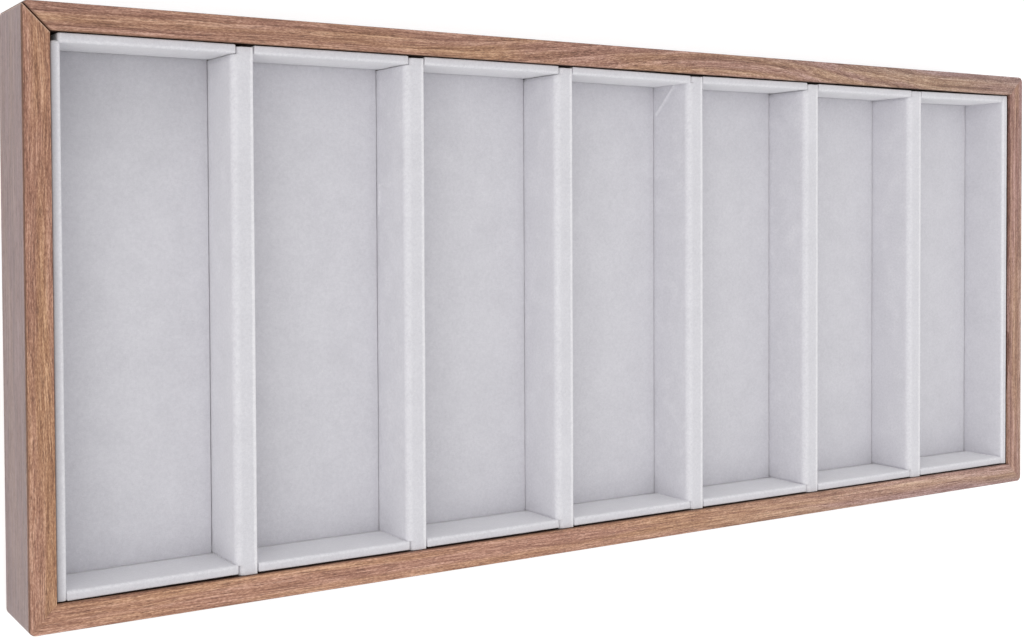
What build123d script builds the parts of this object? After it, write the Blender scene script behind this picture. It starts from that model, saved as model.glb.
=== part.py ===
"""Display tray for eyeglasses: a mitred wood-grain frame round a cloth-covered insert of lanes.

X runs along the tray, Y across it and Z up. The origin lies under the tray's middle, on what it
stands on. Each cloth-covered piece is a board with one cloth drawn over it, modelled as two solids.
The dividers stand loose on the base board, held between the spacers, and lift straight out.
"""

import os
from math import sqrt

from build123d import *

# Frame of foil-covered rails, in millimetres
tray_length = 480.0
tray_width = 200.0
rail_height = 30.2
rail_thickness = 9.0
corner_radius = 2.5
outer_ease = 0.4
inner_ease = 0.3
open_mitre_gap = 0.5

# Angle nails that pin each mitre from below
nail_leg = 5.0
nail_thickness = 0.5
nail_height = 7.0
nail_inset = 2.3

# Base board in its rebate, and the felt that the tray stands on
base_thickness = 3.0
rebate_depth = 4.5
rebate_clearance = 0.25
felt_thickness = 0.8
felt_inset = 1.5
felt_corner_radius = 3.5

# Insert of cloth-covered boards
lane_count = 7
insert_recess = 1.5
cloth = 0.8
divider_board = 6.1
strip_board = 1.5
pad_board = 2.0
largest_board_ease = 0.8
first_lane_trim = 1.4

# Clearances inside the frame
slip = 0.25
rail_gap = 0.4
divider_front_gap = 0.2
divider_back_gap = 1.0

# Lengths that follow from those sizes
half_length = tray_length / 2
half_width = tray_width / 2
inner_half_length = half_length - rail_thickness
inner_half_width = half_width - rail_thickness
divider_thickness = divider_board + 2 * cloth
strip_thickness = strip_board + 2 * cloth
pad_height = pad_board + cloth

# Heights that follow from them
base_top = felt_thickness + base_thickness
pad_top = base_top + pad_height
insert_top = felt_thickness + rail_height - insert_recess
standing_height = insert_top - base_top
spacer_height = insert_top - pad_top

# Faces of the end walls and spacers that bound the lanes
wall_left_face = -inner_half_length + rail_gap + strip_thickness
wall_right_face = inner_half_length - rail_gap - strip_thickness
spacer_front_face = -inner_half_width + rail_gap + strip_thickness
spacer_back_face = inner_half_width - rail_gap - strip_thickness


def block(size_x, size_y, size_z):
    """A block that stands on the origin."""
    return Box(size_x, size_y, size_z, align=(Align.CENTER, Align.CENTER, Align.MIN))


# Frame
def frame_ring():
    """The rails as one ring with a rebate under it, eased along each edge that a hand meets."""
    ring = extrude(RectangleRounded(tray_length, tray_width, corner_radius), rail_height)
    ring -= block(2 * inner_half_length, 2 * inner_half_width, rail_height)
    underside = ring.faces().sort_by(Axis.Z)[0]
    top = ring.faces().sort_by(Axis.Z)[-1]
    ring = fillet(underside.outer_wire().edges() + top.outer_wire().edges(), outer_ease)
    top = ring.faces().sort_by(Axis.Z)[-1]
    ring = fillet(top.inner_wires()[0].edges(), inner_ease)
    rebate_half_length = inner_half_length + rebate_depth
    rebate_half_width = inner_half_width + rebate_depth
    ring -= block(2 * rebate_half_length, 2 * rebate_half_width, base_thickness)
    return Pos(0, 0, felt_thickness) * ring


def mitre_wedge(corners):
    """The space between two mitres, as tall as the tray."""
    return extrude(make_face(Polyline(*corners, close=True)), felt_thickness + rail_height)


def long_rail(ring, side):
    """The rail on one long side, -1 for the front and 1 for the back, cut at its two mitres."""
    corners = [
        (-tray_length, side * (half_width + half_length)),
        (tray_length, side * (half_width + half_length)),
        (half_length - half_width, 0),
        (half_width - half_length, 0),
    ]
    return ring & mitre_wedge(corners)


def short_rail(ring, side, back_gap):
    """The rail on one short side, -1 for the left, cut short at its back mitre by back_gap."""
    shift = back_gap * sqrt(2)
    reach = tray_width
    tip = side * (half_length - half_width + shift / 2)
    outer = side * (half_length - half_width + reach)
    corners = [(tip, -shift / 2), (outer, -reach), (outer, reach - shift)]
    return ring & mitre_wedge(corners)


def corner_nail(side_x, side_y):
    """An angle nail that straddles the mitre, with a leg along each rail."""
    leg_x = block(nail_leg, nail_thickness, nail_height)
    leg_y = block(nail_thickness, nail_leg, nail_height)
    reach = (nail_leg - nail_thickness) / 2
    nail = Pos(reach, 0, 0) * leg_x + Pos(0, reach, 0) * leg_y
    place = Pos(nail_inset - half_length, nail_inset - half_width, felt_thickness) * nail
    if side_x > 0:
        place = mirror(place, about=Plane.YZ)
    if side_y > 0:
        place = mirror(place, about=Plane.XZ)
    return place


def make_frame():
    """Four rails, each with the pockets that its two nails fill, and the nails."""
    ring = frame_ring()
    nails = [corner_nail(side_x, side_y) for side_x in (-1, 1) for side_y in (-1, 1)]
    for nail in nails:
        ring -= nail
    return {
        "rail_front": long_rail(ring, -1),
        "rail_back": long_rail(ring, 1),
        "rail_left": short_rail(ring, -1, open_mitre_gap),
        "rail_right": short_rail(ring, 1, 0),
        "corner_nails": Compound(children=nails),
    }


# Base
def make_base():
    """A board that fills the rebate flush with the rails, and felt glued over the whole underside."""
    board_length = 2 * (inner_half_length + rebate_depth - rebate_clearance)
    board_width = 2 * (inner_half_width + rebate_depth - rebate_clearance)
    felt_outline = RectangleRounded(
        tray_length - 2 * felt_inset,
        tray_width - 2 * felt_inset,
        felt_corner_radius,
    )
    return {
        "base_board": Pos(0, 0, felt_thickness) * block(board_length, board_width, base_thickness),
        "base_felt": extrude(felt_outline, felt_thickness),
    }


# Cloth-covered boards
def board_ease(board_thickness):
    """The radius sanded on a board's upper edges, less on a thin board."""
    return min(largest_board_ease, 0.4 * board_thickness)


def covered_board(size_x, size_y, size_z, board_thickness):
    """A board and the cloth drawn over its top, sides and ends, open only underneath.

    The cloth keeps its thickness round the board's eased edges, rolls round the upright corners
    and is folded flat at the ends.
    """
    ease = board_ease(board_thickness)
    along = Axis.X if size_x > size_y else Axis.Y
    board = block(size_x - 2 * cloth, size_y - 2 * cloth, size_z - cloth)
    board = fillet(board.edges().group_by(Axis.Z)[-1].filter_by(along), ease)
    cover = block(size_x, size_y, size_z)
    long_edges = cover.edges().group_by(Axis.Z)[-1].filter_by(along)
    cover = fillet(long_edges + cover.edges().filter_by(Axis.Z), ease + cloth)
    return cover - board, board


def between(low, high):
    """The length and the middle of a stretch."""
    return high - low, (low + high) / 2


# Lanes
def lane_stretches():
    """The left and right end of each lane, with the first lane trimmed and the rest alike."""
    room = wall_right_face - wall_left_face - (lane_count - 1) * divider_thickness
    first_lane = room / lane_count - first_lane_trim
    other_lane = (room - first_lane) / (lane_count - 1)
    stretches = []
    left = wall_left_face
    for number in range(lane_count):
        right = left + (other_lane if number else first_lane)
        stretches.append((left, right))
        left = right + divider_thickness
    return stretches


def make_pads(lanes):
    """A pad on the base in each lane, from the front rail to the back rail, under the spacers."""
    parts = {}
    pad_width = 2 * (inner_half_width - rail_gap)
    for number, (left, right) in enumerate(lanes, 1):
        pad_length, middle = between(left + slip, right - slip)
        cover, board = covered_board(pad_length, pad_width, pad_height, pad_board)
        parts[f"lane_pad_{number}_cloth"] = Pos(middle, 0, base_top) * cover
        parts[f"lane_pad_{number}_board"] = Pos(middle, 0, base_top) * board
    return parts


def corner_lap():
    """How far two rounded ends pass each other at a corner and still stay a slip apart."""
    radius = board_ease(strip_board) + cloth
    return 2 * radius - (2 * radius + slip) / sqrt(2)


def make_end_walls():
    """The strips along the short rails. The left one stops short of the back corner."""
    parts = {}
    front = -inner_half_width + rail_gap
    walls = {
        "left": (wall_left_face - strip_thickness / 2, spacer_back_face + corner_lap()),
        "right": (wall_right_face + strip_thickness / 2, inner_half_width - rail_gap),
    }
    for name, (middle_x, back) in walls.items():
        wall_length, middle_y = between(front, back)
        cover, board = covered_board(strip_thickness, wall_length, standing_height, strip_board)
        parts[f"end_wall_{name}_cloth"] = Pos(middle_x, middle_y, base_top) * cover
        parts[f"end_wall_{name}_board"] = Pos(middle_x, middle_y, base_top) * board
    return parts


def make_spacers(lanes):
    """A strip across each end of each lane, which holds the lane's pad down and the dividers apart."""
    parts = {}
    rows = {
        "front": spacer_front_face - strip_thickness / 2,
        "back": spacer_back_face + strip_thickness / 2,
    }
    for row, middle_y in rows.items():
        boards = []
        for number, (left, right) in enumerate(lanes, 1):
            at_open_corner = row == "back" and number == 1
            low = left - corner_lap() if at_open_corner else left + slip
            spacer_length, middle_x = between(low, right - slip)
            cover, board = covered_board(spacer_length, strip_thickness, spacer_height, strip_board)
            parts[f"spacer_{row}_{number}_cloth"] = Pos(middle_x, middle_y, pad_top) * cover
            boards.append(Pos(middle_x, middle_y, pad_top) * board)
        parts[f"spacer_{row}_boards"] = Compound(children=boards)
    return parts


# Dividers
def make_dividers(lanes):
    """The loose dividers, each between two lanes and pushed against the front rail."""
    parts = {}
    length, middle_y = between(
        -inner_half_width + divider_front_gap,
        inner_half_width - divider_back_gap,
    )
    for number, (left, right) in enumerate(lanes[:-1], 1):
        middle_x = right + divider_thickness / 2
        cover, board = covered_board(divider_thickness, length, standing_height, divider_board)
        parts[f"divider_{number}_cloth"] = Pos(middle_x, middle_y, base_top) * cover
        parts[f"divider_{number}_board"] = Pos(middle_x, middle_y, base_top) * board
    return parts


lanes = lane_stretches()
pieces = {
    **make_frame(),
    **make_base(),
    **make_pads(lanes),
    **make_end_walls(),
    **make_spacers(lanes),
    **make_dividers(lanes),
}

os.makedirs("parts", exist_ok=True)
for name, piece in pieces.items():
    export_step(piece, f"parts/{name}.step")

for left, right in lanes:
    print(f"lane from x {left:.2f} to {right:.2f}")
print(f"lanes from y {spacer_front_face:.2f} to {spacer_back_face:.2f}, z {pad_top:.2f} up")
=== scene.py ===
"""Eyeglasses display tray: the looks of the frame, the base and the cloth-covered insert.

Meshes are in metres, and the materials' places and noise are in millimetres.
"""

import math

import bmesh
import bpy
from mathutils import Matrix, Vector, noise


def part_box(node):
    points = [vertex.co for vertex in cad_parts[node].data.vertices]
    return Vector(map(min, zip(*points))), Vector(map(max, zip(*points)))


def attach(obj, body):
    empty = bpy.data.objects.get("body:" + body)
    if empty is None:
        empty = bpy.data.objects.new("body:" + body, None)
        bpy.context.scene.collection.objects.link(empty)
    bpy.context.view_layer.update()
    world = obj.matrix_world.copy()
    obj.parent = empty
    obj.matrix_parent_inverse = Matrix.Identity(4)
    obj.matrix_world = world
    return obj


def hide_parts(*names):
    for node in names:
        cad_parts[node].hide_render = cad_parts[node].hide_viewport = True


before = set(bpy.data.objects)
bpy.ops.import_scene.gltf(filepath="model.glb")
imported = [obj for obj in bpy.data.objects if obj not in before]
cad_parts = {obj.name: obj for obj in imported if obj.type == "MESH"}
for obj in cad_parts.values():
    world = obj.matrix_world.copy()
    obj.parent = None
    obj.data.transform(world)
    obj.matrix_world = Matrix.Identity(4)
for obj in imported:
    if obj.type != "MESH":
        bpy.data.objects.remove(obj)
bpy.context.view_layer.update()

# Studio: a large pale table top in a white light tent, which is brighter low down than overhead,
# with a broad soft key from the left. The camera looks down on the tray from beyond its left end.
table = bmesh.new()
bmesh.ops.create_grid(table, x_segments=1, y_segments=1, size=3.0)
table_mesh = bpy.data.meshes.new("table_top")
table.to_mesh(table_mesh)
table.free()
table_top = bpy.data.objects.new("table_top", table_mesh)
bpy.context.scene.collection.objects.link(table_top)

table_paint = bpy.data.materials.new("table_paint")
table_paint.use_nodes = True
table_shader = table_paint.node_tree.nodes["Principled BSDF"]
table_shader.inputs["Base Color"].default_value = (0.72, 0.72, 0.72, 1.0)
table_shader.inputs["Roughness"].default_value = 0.9
table_shader.inputs["Specular IOR Level"].default_value = 0.0
table_shader.inputs["Emission Color"].default_value = (1.0, 1.0, 1.0, 1.0)
table_shader.inputs["Emission Strength"].default_value = 0.50
table_mesh.materials.append(table_paint)

tent = bpy.data.worlds.new("light_tent")
tent.use_nodes = True
tent_nodes = tent.node_tree.nodes
height = tent_nodes.new("ShaderNodeSeparateXYZ")
brightness = tent_nodes.new("ShaderNodeMapRange")
brightness.inputs["To Min"].default_value = 1.10
brightness.inputs["To Max"].default_value = 0.62
direction = tent_nodes.new("ShaderNodeTexCoord").outputs["Generated"]
tent.node_tree.links.new(direction, height.inputs[0])
tent.node_tree.links.new(height.outputs["Z"], brightness.inputs["Value"])
tent.node_tree.links.new(brightness.outputs[0], tent_nodes["Background"].inputs["Strength"])
tent_nodes["Background"].inputs["Color"].default_value = (1.0, 1.0, 1.0, 1.0)
bpy.context.scene.world = tent

key = bpy.data.lights.new("soft_key", "SUN")
key.angle = math.radians(50.0)
key.energy = 0.75
key_light = bpy.data.objects.new("soft_key", key)
key_light.rotation_euler = Vector((-0.60, -0.02, 0.79)).to_track_quat("Z", "Y").to_euler()
bpy.context.scene.collection.objects.link(key_light)

lens = bpy.data.cameras.new("tray_camera")
lens.sensor_width = 36.0
lens.lens = 49.24
lens.shift_y = -0.0611
lens.clip_start = 0.01
camera = bpy.data.objects.new("tray_camera", lens)
camera.location = (-0.3456, 0.03036, 0.48166)
camera.rotation_euler = [math.radians(angle) for angle in (-1.279, -32.425, -0.295)]
bpy.context.scene.collection.objects.link(camera)
bpy.context.scene.camera = camera
bpy.context.scene.view_settings.view_transform = "Standard"


# Frame: four rails of fibreboard wrapped in a printed wood-grain foil, cut at 45 degrees and
# pinned at the mitres. The grain runs along each rail, and in the back rail's right half it arches
# over a knot. The back left mitre has opened, and the foil is rubbed pale along it.
def put(tree, kind, sockets=None, **settings):
    """Adds a node, with its settings and its sockets' values or links."""
    node = tree.nodes.new(kind)
    for key, value in settings.items():
        setattr(node, key, value)
    for key, value in (sockets or {}).items():
        if isinstance(value, bpy.types.NodeSocket):
            tree.links.new(value, node.inputs[key])
        else:
            node.inputs[key].default_value = value
    return node


def reckon(tree, operation, *terms):
    """The result of one sum on numbers or sockets."""
    sockets = dict(enumerate(terms))
    return put(tree, "ShaderNodeMath", sockets, operation=operation).outputs[0]


def rise(tree, value, low, high, top=1.0):
    """A value that rises smoothly from 0 at low to top at high."""
    sockets = {"Value": value, "From Min": low, "From Max": high, "To Max": top}
    return put(tree, "ShaderNodeMapRange", sockets, interpolation_type="SMOOTHSTEP").outputs[0]


def stretched(tree, place, scale):
    """Coordinates multiplied by scale, each way on its own."""
    node = put(tree, "ShaderNodeVectorMath", {0: place, 1: scale}, operation="MULTIPLY")
    return node.outputs[0]


def grain_noise(tree, place, scale, detail=2.0, roughness=0.5):
    """Noise from 0 to 1, with scale cells for each unit of place."""
    sockets = {"Vector": stretched(tree, place, scale), "Scale": 1.0}
    sockets.update({"Detail": detail, "Roughness": roughness})
    return put(tree, "ShaderNodeTexNoise", sockets).outputs[0]


def blended(tree, terms):
    """The sum of sockets, each times its weight."""
    total = 0.0
    for socket, weight in terms:
        total = reckon(tree, "MULTIPLY_ADD", socket, weight, total)
    return total


def opaque(colour):
    """A colour as a socket takes it. A socket in its place stays as it is."""
    return (*colour, 1.0) if isinstance(colour, tuple) else colour


def mixed(tree, share, first, second, blend="MIX"):
    """A colour that goes from first to second as share goes from 0 to 1."""
    sockets = {0: share, 6: opaque(first), 7: opaque(second)}
    return put(tree, "ShaderNodeMix", sockets, data_type="RGBA", blend_type=blend).outputs[2]


def ramp(tree, factor, stops):
    """A colour ramp through (position, colour) stops."""
    node = put(tree, "ShaderNodeValToRGB", {0: factor})
    elements = node.color_ramp.elements
    while len(elements) < len(stops):
        elements.new(0.5)
    for element, (position, colour) in zip(elements, stops):
        element.position = position
        element.color = opaque(colour)
    return node.outputs[0]


def in_millimetres(tree):
    """Object coordinates in millimetres."""
    place = put(tree, "ShaderNodeTexCoord").outputs["Object"]
    return stretched(tree, place, (1000.0, 1000.0, 1000.0))


def roughened(tree, height, strength, distance):
    """The normal of a surface with that relief, whose full height is distance in metres."""
    sockets = {"Height": height, "Strength": strength, "Distance": distance}
    return put(tree, "ShaderNodeBump", sockets).outputs[0]


def new_material(name):
    """A material, its node tree and its Principled shader."""
    material = bpy.data.materials.new(name)
    material.use_nodes = True
    return material, material.node_tree, material.node_tree.nodes["Principled BSDF"]


def new_group(name, inputs, outputs):
    """A node group with named sockets, and its input and output sockets."""
    group = bpy.data.node_groups.new(name, "ShaderNodeTree")
    for socket, kind in inputs:
        group.interface.new_socket(socket, in_out="INPUT", socket_type="NodeSocket" + kind)
    for socket, kind in outputs:
        group.interface.new_socket(socket, in_out="OUTPUT", socket_type="NodeSocket" + kind)
    inlets = group.nodes.new("NodeGroupInput").outputs
    outlets = group.nodes.new("NodeGroupOutput").inputs
    return group, inlets, outlets


def clad(node_name, material):
    """Gives a CAD node its material."""
    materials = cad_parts[node_name].data.materials
    materials.clear()
    materials.append(material)


# The foil's print, whose grain runs along X
arch_reach = 140.0
waver_depth = 4.5
foil, foil_in, foil_out = new_group(
    "wood_grain_foil",
    [("Place", "Vector"), ("Arch", "Float"), ("Figure", "Float")],
    [("Color", "Color"), ("Height", "Float"), ("Pores", "Float")],
)

# The fibres waver, and bow up on both sides of the knot
along = put(foil, "ShaderNodeSeparateXYZ", {0: foil_in["Place"]}).outputs["X"]
arch = rise(foil, reckon(foil, "ABSOLUTE", along), 0.0, arch_reach)
waver = grain_noise(foil, foil_in["Place"], (0.012, 0.08, 0.08))
bend = reckon(foil, "MULTIPLY", reckon(foil, "SUBTRACT", waver, 0.5), waver_depth)
bend = reckon(foil, "MULTIPLY_ADD", arch, foil_in["Arch"], bend)
shift = put(foil, "ShaderNodeCombineXYZ", {"Y": bend, "Z": bend}).outputs[0]
fibre_place = put(foil, "ShaderNodeVectorMath", {0: foil_in["Place"], 1: shift}).outputs[0]

# Their tone: broad streaks, lines, flecks and bands, with year rings where the wood is figured
streaks = grain_noise(foil, fibre_place, (0.022, 0.80, 0.80), 2.0, 0.6)
lines = grain_noise(foil, fibre_place, (0.055, 2.4, 2.4), 3.0, 0.65)
flecks = grain_noise(foil, fibre_place, (0.80, 3.2, 3.2), 2.0, 0.7)
bands = grain_noise(foil, fibre_place, (0.010, 0.26, 0.26))
rings = put(foil, "ShaderNodeTexWave", {
    "Vector": stretched(foil, fibre_place, (0.006, 0.075, 0.075)),
    "Scale": 1.0, "Distortion": 3.5, "Detail": 2.0, "Detail Scale": 0.8, "Detail Roughness": 0.5,
}, bands_direction="Y", wave_profile="SAW").outputs[1]
rings = reckon(foil, "MULTIPLY", reckon(foil, "SUBTRACT", rings, 0.5), foil_in["Figure"])
tone = blended(foil, [
    (streaks, 0.14), (lines, 0.40), (flecks, 0.34), (bands, 0.12), (rings, 0.13),
])
wood = ramp(foil, tone, [
    (0.36, (0.165, 0.074, 0.048)),
    (0.45, (0.350, 0.178, 0.114)),
    (0.51, (0.490, 0.268, 0.176)),
    (0.61, (0.800, 0.510, 0.365)),
])

# A drift from yellower to pinker wood, and dark pores
hue = rise(foil, grain_noise(foil, fibre_place, (0.008, 0.16, 0.16)), 0.38, 0.62)
hue = mixed(foil, hue, (1.02, 1.00, 0.90), (0.99, 0.95, 1.05))
wood = mixed(foil, 1.0, wood, hue, "MULTIPLY")
pores = rise(foil, grain_noise(foil, fibre_place, (0.22, 2.6, 2.6), 2.0, 0.7), 0.57, 0.66)
wood = mixed(foil, reckon(foil, "MULTIPLY", pores, 0.55), wood, (0.15, 0.070, 0.045))
foil.links.new(wood, foil_out["Color"])
foil.links.new(reckon(foil, "SUBTRACT", tone, pores), foil_out["Height"])
foil.links.new(pores, foil_out["Pores"])

# What becomes of the print near a rail's edges, with painted shade, sheen and reflection
half_length, half_width, frame_top, rail_width = 240.0, 100.0, 31.0, 9.0
insert_recess = 1.4
pink_start = -60.0
open_corner_x = (-226.0, -229.0)
open_corner_y = (88.0, 90.0)
# Colours that paint light and shade: a grey, two mauves and their share for sheen and shade on the
# outer sides, a shaded tone for the inner sides, a near-black for the shadowed gap below the
# insert, and a pink for the reflection towards the right end, where a plum darkens the outer arris
sheen_and_shade_grey = (0.60, 0.60, 0.60)
shaded_print = (0.78, 0.76, 0.76)
painted_gap_shadow = (0.20, 0.18, 0.18)
dark_sheen_mauve, pale_sheen_mauve = (0.160, 0.130, 0.145), (0.270, 0.222, 0.246)
sheen_mauve_share = 0.58
painted_reflection_pink = (0.985, 1.20, 1.45)
plum_tone = (0.82, 0.84, 0.98)
dark_line = (0.13, 0.065, 0.040)
bare_board = (0.56, 0.37, 0.27)
edges, edges_in, edges_out = new_group(
    "rail_edges",
    [
        ("Print", "Color"), ("Tint", "Color"), ("Pores", "Float"),
        ("Place", "Vector"), ("Grain Place", "Vector"), ("Upright", "Float"),
        ("Rubbed Mitre", "Float"), ("Dark Mitre", "Float"),
    ],
    [("Color", "Color"), ("Roughness", "Float")],
)
x, y, z = put(edges, "ShaderNodeSeparateXYZ", {0: edges_in["Place"]}).outputs
from_end = reckon(edges, "SUBTRACT", half_length, reckon(edges, "ABSOLUTE", x))
from_side = reckon(edges, "SUBTRACT", half_width, reckon(edges, "ABSOLUTE", y))
from_top = reckon(edges, "SUBTRACT", frame_top, z)
from_outside = reckon(edges, "MINIMUM", from_end, from_side)
from_mitre = reckon(edges, "ABSOLUTE", reckon(edges, "SUBTRACT", from_end, from_side))
colour = mixed(edges, 1.0, edges_in["Print"], edges_in["Tint"], "MULTIPLY")

# Painted reflection: it is pinker towards the right end, for the bright tent glancing off the foil
# at a grazing angle, and darker near the outer arris there
towards_right = rise(edges, x, pink_start, half_length, 0.75)
colour = mixed(edges, towards_right, colour, painted_reflection_pink, "MULTIPLY")
near_outside = reckon(edges, "MULTIPLY", rise(edges, from_outside, 4.5, 1.5), towards_right)
colour = mixed(edges, near_outside, colour, plum_tone, "MULTIPLY")

# Painted shade: it is darker down the inner sides, which lie in shade, and most of all below the
# insert's top, where the gap beside the insert lies in deep shadow
inner = rise(edges, from_outside, rail_width - 0.25, rail_width - 0.05)
colour = mixed(edges, inner, colour, shaded_print, "MULTIPLY")
gap_shadow_share = rise(edges, from_top, insert_recess, insert_recess + 0.4)
gap_shadow_share = reckon(edges, "MULTIPLY", inner, gap_shadow_share)
colour = mixed(edges, gap_shadow_share, colour, painted_gap_shadow, "MULTIPLY")

# Painted sheen and shade: it is greyer and fainter round the outer sides, in mauve streaks, for
# the white sheen seen there at a grazing angle and the shade those sides lie in
outer = rise(edges, edges_in["Upright"], 0.97, 0.48)
outer = reckon(edges, "MULTIPLY", outer, rise(edges, from_outside, 3.0, 2.0))
colour = mixed(edges, outer, colour, sheen_and_shade_grey, "MULTIPLY")
sheen_streaks = grain_noise(edges, edges_in["Grain Place"], (0.025, 0.9, 0.9), 3.0, 0.6)
painted_sheen_haze = mixed(edges, rise(edges, sheen_streaks, 0.36, 0.64), dark_sheen_mauve, pale_sheen_mauve)
colour = mixed(edges, reckon(edges, "MULTIPLY", outer, sheen_mauve_share), colour, painted_sheen_haze)

# A dark line shows at the left arris
arris = reckon(
    edges, "MULTIPLY",
    rise(edges, from_outside, 0.75, 0.45), rise(edges, from_outside, 0.05, 0.25),
)
at_left_end = rise(edges, x, 2.0 - half_length, 1.0 - half_length, 0.85)
arris = reckon(edges, "MULTIPLY", arris, at_left_end)
arris = reckon(edges, "MULTIPLY", arris, rise(edges, from_top, 1.2, 0.6))
colour = mixed(edges, arris, colour, dark_line)

# Mitre lines: a trace where the joint is tight, a rubbed edge and a dark one where it is open
at_open_corner = reckon(
    edges, "MULTIPLY", rise(edges, y, *open_corner_y), rise(edges, x, *open_corner_x)
)
rubbed = reckon(edges, "MULTIPLY", rise(edges, from_mitre, 1.35, 1.05), at_open_corner)
rubbed = reckon(edges, "MULTIPLY", rubbed, edges_in["Rubbed Mitre"])
colour = mixed(edges, rubbed, colour, bare_board)
seam = rise(edges, from_mitre, 0.25, 0.05, 0.15)
seam = reckon(edges, "MULTIPLY_ADD", at_open_corner, edges_in["Dark Mitre"], seam)
seam = reckon(edges, "MULTIPLY", seam, rise(edges, from_mitre, 0.9, 0.3))
edges.links.new(mixed(edges, seam, colour, dark_line), edges_out["Color"])

# The foil is duller in its pores, in patches and on the outer sides
patches = grain_noise(edges, edges_in["Place"], (0.16, 0.16, 0.16), 3.0, 0.7)
gloss = blended(edges, [(edges_in["Pores"], 0.2), (patches, 0.14), (outer, 0.1)])
edges.links.new(reckon(edges, "ADD", gloss, 0.34), edges_out["Roughness"])


def dress_rail(name, turn, start, arch, figure, tint, rubbed_mitre=0.0, dark_mitre=0.0):
    """Gives a rail its foil, with the grain turned along it and started at its own place."""
    material, tree, shader = new_material(name + "_foil")
    place = in_millimetres(tree)
    grain_place = put(tree, "ShaderNodeMapping", {
        "Vector": place, "Location": start, "Rotation": (0.0, 0.0, math.radians(turn)),
    }).outputs[0]
    printed = put(tree, "ShaderNodeGroup", {
        "Place": grain_place, "Arch": arch, "Figure": figure,
    }, node_tree=foil).outputs
    normal = put(tree, "ShaderNodeNewGeometry").outputs["Normal"]
    slope = put(tree, "ShaderNodeSeparateXYZ", {0: normal}).outputs["Z"]
    edged = put(tree, "ShaderNodeGroup", {
        "Print": printed["Color"], "Tint": opaque(tint), "Pores": printed["Pores"],
        "Place": place, "Grain Place": grain_place, "Upright": reckon(tree, "ABSOLUTE", slope),
        "Rubbed Mitre": rubbed_mitre, "Dark Mitre": dark_mitre,
    }, node_tree=edges).outputs
    tree.links.new(edged["Color"], shader.inputs["Base Color"])
    tree.links.new(edged["Roughness"], shader.inputs["Roughness"])
    relief = roughened(tree, printed["Height"], 0.45, 0.00012)
    tree.links.new(relief, shader.inputs["Normal"])
    shader.inputs["Specular IOR Level"].default_value = 0.45
    clad(name, material)


dress_rail("rail_front", 0.0, (0.0, 0.0, 0.0), 0.0, 0.2, (0.96, 0.94, 0.91))
dress_rail(
    "rail_back", 0.0, (-48.0, 0.0, 17.0), 12.0, 0.6, (0.84, 0.84, 0.83), dark_mitre=0.5
)
dress_rail(
    "rail_left", -90.0, (300.0, 20.0, 5.0), 0.0, 0.2, (0.89, 0.87, 0.82), rubbed_mitre=0.6
)
dress_rail("rail_right", 90.0, (520.0, 70.0, 31.0), 0.0, 0.8, (0.88, 0.79, 0.75))


# Angle nails: bent strips of plain steel, one driven up into the underside of each mitre. They
# stand in the rails and the felt covers them.
nail_steel, tree, shader = new_material("nail_steel")
scratches = grain_noise(tree, in_millimetres(tree), (6.0, 6.0, 0.4), 3.0, 0.6)
tree.links.new(ramp(tree, scratches, [
    (0.3, (0.28, 0.28, 0.29)), (0.7, (0.52, 0.52, 0.53)),
]), shader.inputs["Base Color"])
tree.links.new(reckon(tree, "MULTIPLY_ADD", scratches, 0.3, 0.25), shader.inputs["Roughness"])
shader.inputs["Metallic"].default_value = 1.0
clad("corner_nails", nail_steel)


# Base: a sheet of brown hardboard glued into the rebate round the rails, seen only down the gaps
# beside the insert, and a dark felt glued over the whole underside.
fibres, fibres_in, fibres_out = new_group(
    "board_fibres",
    [("Place", "Vector"), ("Fineness", "Float"), ("Dark", "Color"), ("Pale", "Color")],
    [("Color", "Color"), ("Roughness", "Float"), ("Height", "Float")],
)
fine = put(fibres, "ShaderNodeTexNoise", {
    "Vector": fibres_in["Place"], "Scale": fibres_in["Fineness"],
    "Detail": 4.0, "Roughness": 0.7,
}).outputs[0]
broad = grain_noise(fibres, fibres_in["Place"], (0.03, 0.03, 0.03))
paleness = put(fibres, "ShaderNodeMapRange", {
    "Value": blended(fibres, [(broad, 0.4), (fine, 0.6)]), "From Min": 0.35, "From Max": 0.65,
}).outputs[0]
board_colour = mixed(fibres, paleness, fibres_in["Dark"], fibres_in["Pale"])
fibres.links.new(board_colour, fibres_out["Color"])
fibres.links.new(reckon(fibres, "MULTIPLY_ADD", fine, 0.2, 0.7), fibres_out["Roughness"])
fibres.links.new(fine, fibres_out["Height"])


def raw_board(name, dark, pale, fibre_size):
    """The material of bare board, from its darkest to its palest fibres, sized in millimetres."""
    material, tree, shader = new_material(name)
    board = put(tree, "ShaderNodeGroup", {
        "Place": in_millimetres(tree), "Fineness": 1.0 / fibre_size,
        "Dark": opaque(dark), "Pale": opaque(pale),
    }, node_tree=fibres).outputs
    tree.links.new(board["Color"], shader.inputs["Base Color"])
    tree.links.new(board["Roughness"], shader.inputs["Roughness"])
    tree.links.new(roughened(tree, board["Height"], 0.4, 0.0001), shader.inputs["Normal"])
    return material


clad("base_board", raw_board("hardboard", (0.10, 0.055, 0.03), (0.20, 0.12, 0.07), 0.5))


def new_piece(shape, name, material, body, node_name):
    """Makes a finished bmesh a smooth-shaded piece that stands for a CAD node."""
    mesh = bpy.data.meshes.new(name)
    shape.to_mesh(mesh)
    shape.free()
    mesh.shade_smooth()
    mesh.materials.append(material)
    piece = bpy.data.objects.new(name, mesh)
    bpy.context.scene.collection.objects.link(piece)
    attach(piece, body)
    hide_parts(node_name)
    return piece


def thicken(piece, thickness):
    """Gives a sheet its thickness, inwards from its outer face."""
    solid = piece.modifiers.new("cloth_thickness", "SOLIDIFY")
    solid.thickness = thickness
    solid.offset = -1.0
    solid.use_even_offset = True


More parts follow.
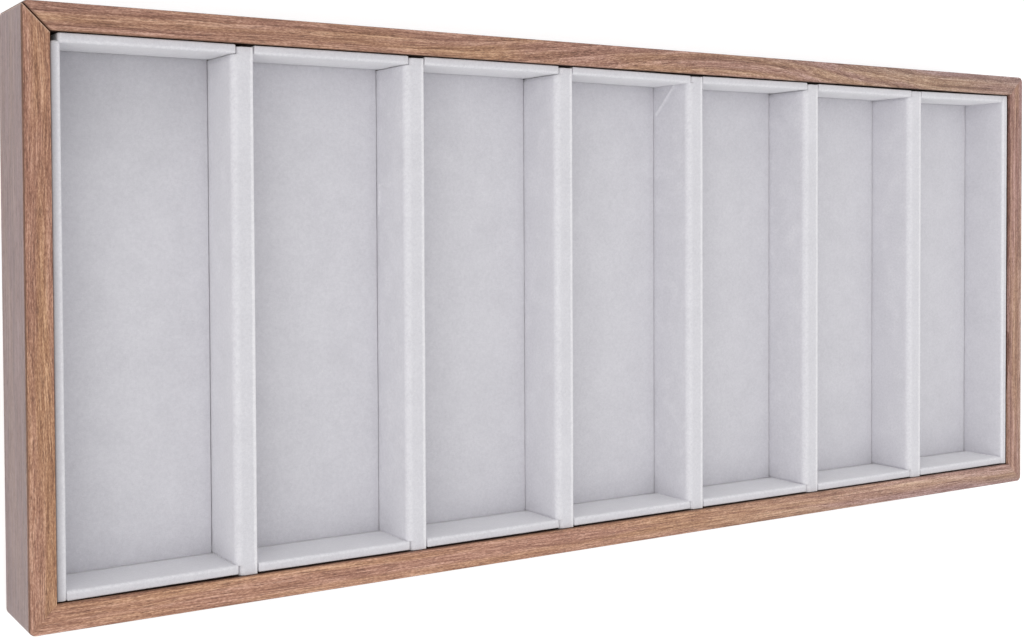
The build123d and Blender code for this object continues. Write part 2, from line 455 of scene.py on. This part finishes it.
def box_shell(node_name):
    """A box as large as a CAD node at rest."""
    low, high = (Vector(corner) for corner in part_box(node_name))
    shell = bmesh.new()
    bmesh.ops.create_cube(shell, size=1.0)
    bmesh.ops.scale(shell, vec=high - low, verts=shell.verts)
    bmesh.ops.translate(shell, vec=(low + high) / 2, verts=shell.verts)
    return shell


def round_off(shell, edges, radius, segments):
    """Rolls edges to a radius."""
    bmesh.ops.bevel(
        shell, geom=edges, offset=radius, segments=segments,
        profile=0.5, affect="EDGES", material=-1,
    )


def sharp_edges(shell):
    """The edges where two faces still meet squarely."""
    return [edge for edge in shell.edges if edge.calc_face_angle(0.0) > 1.0]


def divide(shell, axis, spacing):
    """Cuts the edges that run along one axis into pieces of about spacing."""
    runs = []
    for edge in shell.edges:
        run = edge.verts[1].co - edge.verts[0].co
        if run.length > 1.5 * spacing and abs(run[axis]) > 0.999 * run.length:
            runs.append(edge)
    if runs:
        cuts = round(max(edge.calc_length() for edge in runs) / spacing) - 1
        bmesh.ops.subdivide_edges(shell, edges=runs, cuts=max(cuts, 1), use_grid_fill=True)


felt_cloth, tree, shader = new_material("felt_cloth")
place = in_millimetres(tree)
fuzz = grain_noise(tree, place, (2.2, 2.2, 2.2), 5.0, 0.75)
clouds = grain_noise(tree, place, (0.05, 0.05, 0.05))
tree.links.new(ramp(tree, blended(tree, [(clouds, 0.4), (fuzz, 0.6)]), [
    (0.3, (0.020, 0.020, 0.022)), (0.7, (0.062, 0.061, 0.064)),
]), shader.inputs["Base Color"])
tree.links.new(reckon(tree, "MULTIPLY_ADD", fuzz, 0.1, 0.88), shader.inputs["Roughness"])
tree.links.new(roughened(tree, fuzz, 0.6, 0.0002), shader.inputs["Normal"])
shader.inputs["Sheen Weight"].default_value = 0.25
shader.inputs["Sheen Roughness"].default_value = 0.5

felt_corner, felt_edge, felt_spacing = 0.0035, 0.0003, 0.006
felt = box_shell("base_felt")
corners = [edge for edge in felt.edges if abs(edge.verts[0].co.z - edge.verts[1].co.z) > 1e-5]
round_off(felt, corners, felt_corner, 6)
round_off(felt, sharp_edges(felt), felt_edge, 2)
divide(felt, 0, felt_spacing)
divide(felt, 1, felt_spacing)
felt_piece = new_piece(felt, "underside_felt", felt_cloth, "tray", "base_felt")


# Lane pads: cards covered in pale grey microfibre suede, one laid on the base board in each lane.
# The suede is glued over the card's edges and turned under.
suede, tree, shader = new_material("suede_cloth")
place = in_millimetres(tree)
nap = grain_noise(tree, place, (3.2, 3.2, 3.2), 3.0, 0.7)
mottle = grain_noise(tree, place, (0.85, 0.85, 0.85), 3.0, 0.65)
clouds = grain_noise(tree, place, (0.09, 0.09, 0.09), 3.0, 0.6)
cloth_tone = blended(tree, [(nap, 0.44), (mottle, 0.34), (clouds, 0.22)])
cloth_colour = ramp(tree, cloth_tone, [
    (0.30, (0.600, 0.590, 0.626)), (0.50, (0.695, 0.685, 0.722)), (0.70, (0.790, 0.780, 0.815)),
])
specks = put(tree, "ShaderNodeTexVoronoi", {"Vector": place, "Scale": 0.16}).outputs
chosen = rise(tree, specks["Color"], 0.82, 0.84)
lint = reckon(tree, "MULTIPLY", rise(tree, specks["Distance"], 0.045, 0.025), chosen)
cloth_colour = mixed(tree, reckon(tree, "MULTIPLY", lint, 0.6), cloth_colour, (0.85, 0.85, 0.84))

# Painted shade: the nap is darker on the left wall's top towards the rail, which stands over it
# and shades it, and at the back of the first pad, in the shade of the back spacer and the left
# wall
wall_shade_x = (-228.0, -230.5)
first_pad_right, pad_top = -171.0, 7.0
back_shadow_y = (30.0, 85.0)
x, y, z = put(tree, "ShaderNodeSeparateXYZ", {0: place}).outputs
rail_shade_share = rise(tree, x, *wall_shade_x)
cloth_colour = mixed(tree, rail_shade_share, cloth_colour, (0.78, 0.78, 0.78), "MULTIPLY")
on_first_pad = reckon(
    tree, "MULTIPLY",
    rise(tree, x, first_pad_right + 1.0, first_pad_right), rise(tree, z, pad_top + 0.5, pad_top),
)
painted_back_shadow = reckon(tree, "MULTIPLY", on_first_pad, rise(tree, y, *back_shadow_y))
cloth_colour = mixed(tree, painted_back_shadow, cloth_colour, (0.86, 0.86, 0.86), "MULTIPLY")

# Where it is rubbed, it is paler in tufts, or all over where it is rubbed hard: partly real wear,
# partly a painted highlight on the rims and folds that catch the light
nap_wear_and_highlight = put(tree, "ShaderNodeAttribute", attribute_name="nap_wear_and_highlight").outputs["Fac"]
tufts = rise(tree, grain_noise(tree, place, (0.9, 0.9, 0.9), 3.0, 0.8), 0.42, 0.62, 1.5)
unbroken = put(tree, "ShaderNodeMix", {0: nap_wear_and_highlight, 2: tufts, 3: 1.0}).outputs[0]
wear_and_highlight_share = reckon(tree, "MULTIPLY", reckon(tree, "MULTIPLY", nap_wear_and_highlight, unbroken), 0.8)
cloth_colour = mixed(tree, wear_and_highlight_share, cloth_colour, (0.93, 0.92, 0.94))
tree.links.new(cloth_colour, shader.inputs["Base Color"])
tree.links.new(reckon(tree, "MULTIPLY_ADD", nap, 0.12, 0.86), shader.inputs["Roughness"])
tree.links.new(
    roughened(tree, blended(tree, [(mottle, 0.5), (nap, 0.5)]), 0.5, 0.0002),
    shader.inputs["Normal"],
)
shader.inputs["Specular IOR Level"].default_value = 0.15
shader.inputs["Sheen Weight"].default_value = 0.85
shader.inputs["Sheen Roughness"].default_value = 0.42

cloth_thickness = 0.0006
crisp_fold = 0.00025
# The pale rims along crisp edges: rubbed wear and a painted highlight along the lit edge
rim_full, rim_none, rim_wear_and_highlight = 0.0008, 0.0015, 0.7
slow_ripples, quick_ripples = 45.0, 210.0
box_sides = {"left": (0, 0), "right": (0, 1), "front": (1, 0), "back": (1, 1), "top": (2, 1)}


def eased(value, low, high):
    """A number that rises smoothly from 0 at low to 1 at high."""
    share = min(max((value - low) / (high - low), 0.0), 1.0)
    return share * share * (3.0 - 2.0 * share)


def box_edges(shell, box, pairs):
    """The edges of a box where named pairs of its sides meet."""
    found = []
    for edge in shell.edges:
        touched = {
            side for side, (axis, end) in box_sides.items()
            if all(abs(vert.co[axis] - box[end][axis]) < 1e-6 for vert in edge.verts)
        }
        if any(set(pair) <= touched for pair in pairs):
            found.append(edge)
    return found


def cut_across(shell, cuts):
    """Cuts a shell along planes across Y."""
    for cut in cuts:
        everything = [*shell.verts, *shell.edges, *shell.faces]
        bmesh.ops.bisect_plane(shell, geom=everything, plane_co=(0, cut, 0), plane_no=(0, 1, 0))


def drawn_cloth(
    name, node_name, body, soft_edges, soft_radius, spacing, ripple,
    rubbed_and_lit_edges=(), cuts=(), shape=None, relief=None, soft_wear_and_highlight=0.45,
):
    """The suede over one board, open underneath, with soft and crisp folds and fine ripples.

    spacing is the size of its mesh along X, Y and Z, ripple how far it stands off flat, cuts are
    planes across Y for finer shape, and shape and relief move its points sideways and outwards.
    The nap is painted pale along rubbed_and_lit_edges, and by soft_wear_and_highlight along
    soft_edges: partly rubbed wear, partly a painted highlight where these rims and folds catch the
    light.
    """
    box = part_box(node_name)
    shell = box_shell(node_name)
    underside = [face for face in shell.faces if face.normal.z < -0.5]
    bmesh.ops.delete(shell, geom=underside, context="FACES_ONLY")
    if soft_edges:
        round_off(shell, box_edges(shell, box, soft_edges), soft_radius, 5)
    round_off(shell, sharp_edges(shell), crisp_fold, 2)
    for axis in range(3):
        divide(shell, axis, spacing[axis])
    cut_across(shell, cuts)
    shell.normal_update()
    # How pale the nap is at each point: rubbed wear and a painted highlight on lit rims and folds
    rubbed = shell.verts.layers.float.new("nap_wear_and_highlight")
    folds = [(pair, 0.6 * soft_radius, 1.15 * soft_radius, soft_wear_and_highlight) for pair in soft_edges]
    folds += [(pair, rim_full, rim_none, rim_wear_and_highlight) for pair in rubbed_and_lit_edges]
    seed = Vector((sum(map(ord, name)), 0.0, 0.0))
    moves = []
    for vert in shell.verts:
        for pair, full, none, wear in folds:
            ends = [box_sides[side] for side in pair]
            reach = sum(abs(vert.co[axis] - box[end][axis]) for axis, end in ends)
            vert[rubbed] = max(vert[rubbed], wear * eased(-reach, -none, -full))
        slow = noise.noise(vert.co * slow_ripples + seed)
        quick = noise.noise(vert.co * quick_ripples + seed)
        lift = ripple * (0.65 * slow + 0.35 * quick)
        if relief:
            height, wear = relief(vert.co, vert.normal)
            lift += height
            vert[rubbed] = max(vert[rubbed], wear)
        sideways = shape(vert.co) if shape else Vector()
        moves.append(vert.normal * lift + sideways)
    for vert, move in zip(shell.verts, moves):
        vert.co += move
    piece = new_piece(shell, name, suede, body, node_name)
    thicken(piece, cloth_thickness)


pad_spacing = (0.004, 0.004, 0.0008)
pad_ripple = 0.00012
card_nodes = []
for number in range(1, 8):
    drawn_cloth(
        f"pad_suede_{number}", f"lane_pad_{number}_cloth", "tray",
        [], 0.0, pad_spacing, pad_ripple,
    )
    card_nodes.append(f"lane_pad_{number}_board")


# End walls: thin strips of card covered in the same suede, standing along the short rails. The
# left one stops short of the back rail and leaves a dark hole in the corner.
strip_fold = 0.0011
strip_ripple = 0.00010
wall_spacing = (0.0006, 0.003, 0.003)
right_wall_outside, right_wall_slack = 0.2290, 0.00025


def off_right_rail(point):
    """How the outside of the right wall moves to stand a little off its rail."""
    return Vector((-right_wall_slack if point.x > right_wall_outside else 0.0, 0.0, 0.0))


drawn_cloth(
    "end_wall_suede_left", "end_wall_left_cloth", "tray",
    [("right", "top"), ("left", "back"), ("right", "back"), ("top", "back")], strip_fold,
    wall_spacing, strip_ripple, soft_wear_and_highlight=0.6,
)
drawn_cloth(
    "end_wall_suede_right", "end_wall_right_cloth", "tray",
    [("left", "top")], strip_fold, wall_spacing, strip_ripple,
    rubbed_and_lit_edges=[("right", "top")], shape=off_right_rail, soft_wear_and_highlight=0.6,
)
card_nodes += ["end_wall_left_board", "end_wall_right_board"]


# Spacers: short strips of card covered in suede across both ends of every lane. They hold the pads
# down and keep the dividers apart. The right end of each presses into the divider beside it, the
# left one stands a little off, and some have crept away from the rail at one end or both.
spacer_spacing = (0.002, 0.0006, 0.003)
spacer_press = {"front": 0.0012, "back": 0.0018}
spacer_bulge, bulge_start, bulge_full = 0.0002, 0.004, 0.0005
spacer_slack, slack_start, slack_full = 0.0003, 0.0006, 0.0002
crept = {
    ("front", 1): (0.0, 0.0005), ("front", 2): (0.0003, 0.0003), ("front", 3): (0.0003, 0.0004),
    ("front", 4): (0.0003, 0.0004), ("front", 5): (0.0003, 0.0003), ("front", 6): (0.0001, 0.0002),
    ("front", 7): (0.0002, 0.0002), ("back", 4): (0.0, 0.0004), ("back", 5): (0.0003, 0.0),
    ("back", 6): (0.0003, 0.0004), ("back", 7): (0.0005, 0.0001),
}


def pressed_spacer(row, number, box):
    """How a spacer's points move: its right end out, its left end in, and each off the rail."""
    left, right = crept.get((row, number), (0.0, 0.0))
    inwards = 1.0 if row == "front" else -1.0
    left_end, right_end = box[0][0], box[1][0]
    press = spacer_bulge + (spacer_press[row] if number < 7 else 0.0)
    slack = spacer_slack if number > 1 else -spacer_bulge

    def move(point):
        out = press * eased(point.x, right_end - bulge_start, right_end - bulge_full)
        out += slack * eased(-point.x, -left_end - slack_start, -left_end - slack_full)
        share = (point.x - left_end) / (right_end - left_end)
        return Vector((out, inwards * (left + (right - left) * share), 0.0))
    return move


for row, lane_side in (("front", "back"), ("back", "front")):
    for number in range(1, 8):
        node_name = f"spacer_{row}_{number}_cloth"
        soft = [(lane_side, "top")] + ([("right", "top")] if number < 7 else [])
        if (row, number) == ("back", 1):
            soft += [("left", "top"), ("left", lane_side)]
        drawn_cloth(
            f"spacer_suede_{row}_{number}", node_name, "tray",
            soft, strip_fold, spacer_spacing, strip_ripple,
            shape=pressed_spacer(row, number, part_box(node_name)),
        )
    card_nodes.append(f"spacer_{row}_boards")
greyboard = raw_board("greyboard", (0.26, 0.25, 0.235), (0.40, 0.39, 0.37), 0.7)
for node_name in card_nodes:
    clad(node_name, greyboard)


# Dividers: boards covered in suede, standing loose on the base between the spacers, which dent
# their left sides near both ends. The cloth of the fourth has a fold at the back of its left side,
# and that of the second a small pucker at its left foot.
lane_end = 0.0875
dent_run = 0.0003
divider_shoulder = 0.0024
cloth_and_glue = 0.0008
core_edge = 0.0006
brushed_wear, brushed_patches = 0.20, 170.0
wrinkle_height, wrinkles_along, wrinkles_up = 0.00012, 260.0, 90.0
wrinkle_start, wrinkle_full = 0.060, 0.085
# The creases' ridges are painted pale: rubbed wear and a painted highlight where they catch the
# light
crease_width, crease_height, crease_wear_and_highlight = 0.0005, 0.00045, 0.55
fold_start, fold_end = Vector((0.0753, 0.0080)), Vector((0.0875, 0.0210))
fold_height, fold_crest, fold_foot_start, fold_foot = 0.00025, 0.0006, 0.004, 0.012
pucker_corner, pucker_front, pucker_top = (
    Vector((0.0441, 0.0086)), Vector((0.0330, 0.0078)), Vector((0.0447, 0.0190))
)
hollow_spot = Vector((0.0401, 0.0111))
hollow_depth, hollow_length, hollow_height = 0.00030, 0.0035, 0.0025


def dented(box):
    """How the points of a divider move where the spacers press on its left side."""
    def move(point):
        if point.y > 0.0:
            press = spacer_press["back"] * eased(point.y, lane_end - dent_run, lane_end)
        else:
            press = spacer_press["front"] * eased(-point.y, lane_end - dent_run, lane_end)
        share = (box[1][0] - point.x) / (box[1][0] - box[0][0])
        return Vector((press * min(max(share, 0.0), 1.0), 0.0, 0.0))
    return move


def crease(spot, start, end):
    """How near a spot on a divider's side is to a crease from start to end, from 0 to 1."""
    run = end - start
    share = min(max((spot - start).dot(run) / run.length_squared, 0.0), 1.0)
    return math.exp(-(((spot - start - run * share).length / crease_width) ** 2))


def side_relief(number):
    """The folds and wrinkles in a divider's left side, and how pale they are rubbed, with a
    painted highlight along the creases.
    """
    seed = Vector((0.0, 0.0, 7.0 * number))

    def relief(point, normal):
        if normal.x > -0.5:
            return 0.0, 0.0
        near_end = eased(abs(point.y), wrinkle_start, wrinkle_full)
        wave = Vector((0.0, point.y * wrinkles_along, point.z * wrinkles_up))
        wrinkle = noise.noise(wave + seed)
        height = wrinkle_height * near_end * wrinkle
        patch = noise.noise(point * brushed_patches + seed)
        brushed = brushed_wear * eased(patch, 0.0, 0.5)
        spot = Vector((point.y, point.z))
        ridge = 0.0
        if number == 4:
            ridge = crease(spot, fold_start, fold_end)
            run = fold_end - fold_start
            from_start = spot - fold_start
            across = (from_start.x * run.y - from_start.y * run.x) / run.length
            share = from_start.dot(run) / run.length_squared
            within = eased(share, -0.15, 0.05) * eased(-share, -1.25, -1.05)
            raised = eased(across, 0.0, fold_crest)
            raised *= eased(-across, -fold_foot, -fold_foot_start)
            height += fold_height * within * raised
        if number == 2:
            ridge = max(
                crease(spot, pucker_corner, pucker_front),
                0.6 * crease(spot, pucker_corner, pucker_top),
            )
            off = spot - hollow_spot
            hollow = math.exp(-(off.x / hollow_length) ** 2 - (off.y / hollow_height) ** 2)
            height -= hollow_depth * hollow
        return height + crease_height * ridge, max(crease_wear_and_highlight * ridge, brushed)
    return relief


fibreboard = raw_board("fibreboard", (0.33, 0.22, 0.13), (0.50, 0.37, 0.24), 0.6)
end_cuts = [
    side * (lane_end - share * dent_run)
    for side in (-1, 1) for share in (0.0, 0.25, 0.5, 0.75, 1.0)
]
for number in range(1, 7):
    node_name = f"divider_{number}_cloth"
    push = dented(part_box(node_name))
    side_spacing = 0.0006 if number in (2, 4) else 0.0022
    drawn_cloth(
        f"divider_suede_{number}", node_name, f"divider_{number}",
        [("left", "top")], divider_shoulder, (0.0005, side_spacing, side_spacing), strip_ripple,
        rubbed_and_lit_edges=[("right", "top")], cuts=end_cuts,
        shape=push, relief=side_relief(number), soft_wear_and_highlight=0.25,
    )
    core = box_shell(f"divider_{number}_board")
    shoulder = box_edges(core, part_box(f"divider_{number}_board"), [("left", "top")])
    round_off(core, shoulder, divider_shoulder - cloth_and_glue, 3)
    round_off(core, sharp_edges(core), core_edge, 2)
    cut_across(core, end_cuts)
    for vert in core.verts:
        vert.co += push(vert.co)
    new_piece(
        core, f"divider_{number}_core", fibreboard, f"divider_{number}",
        f"divider_{number}_board",
    )
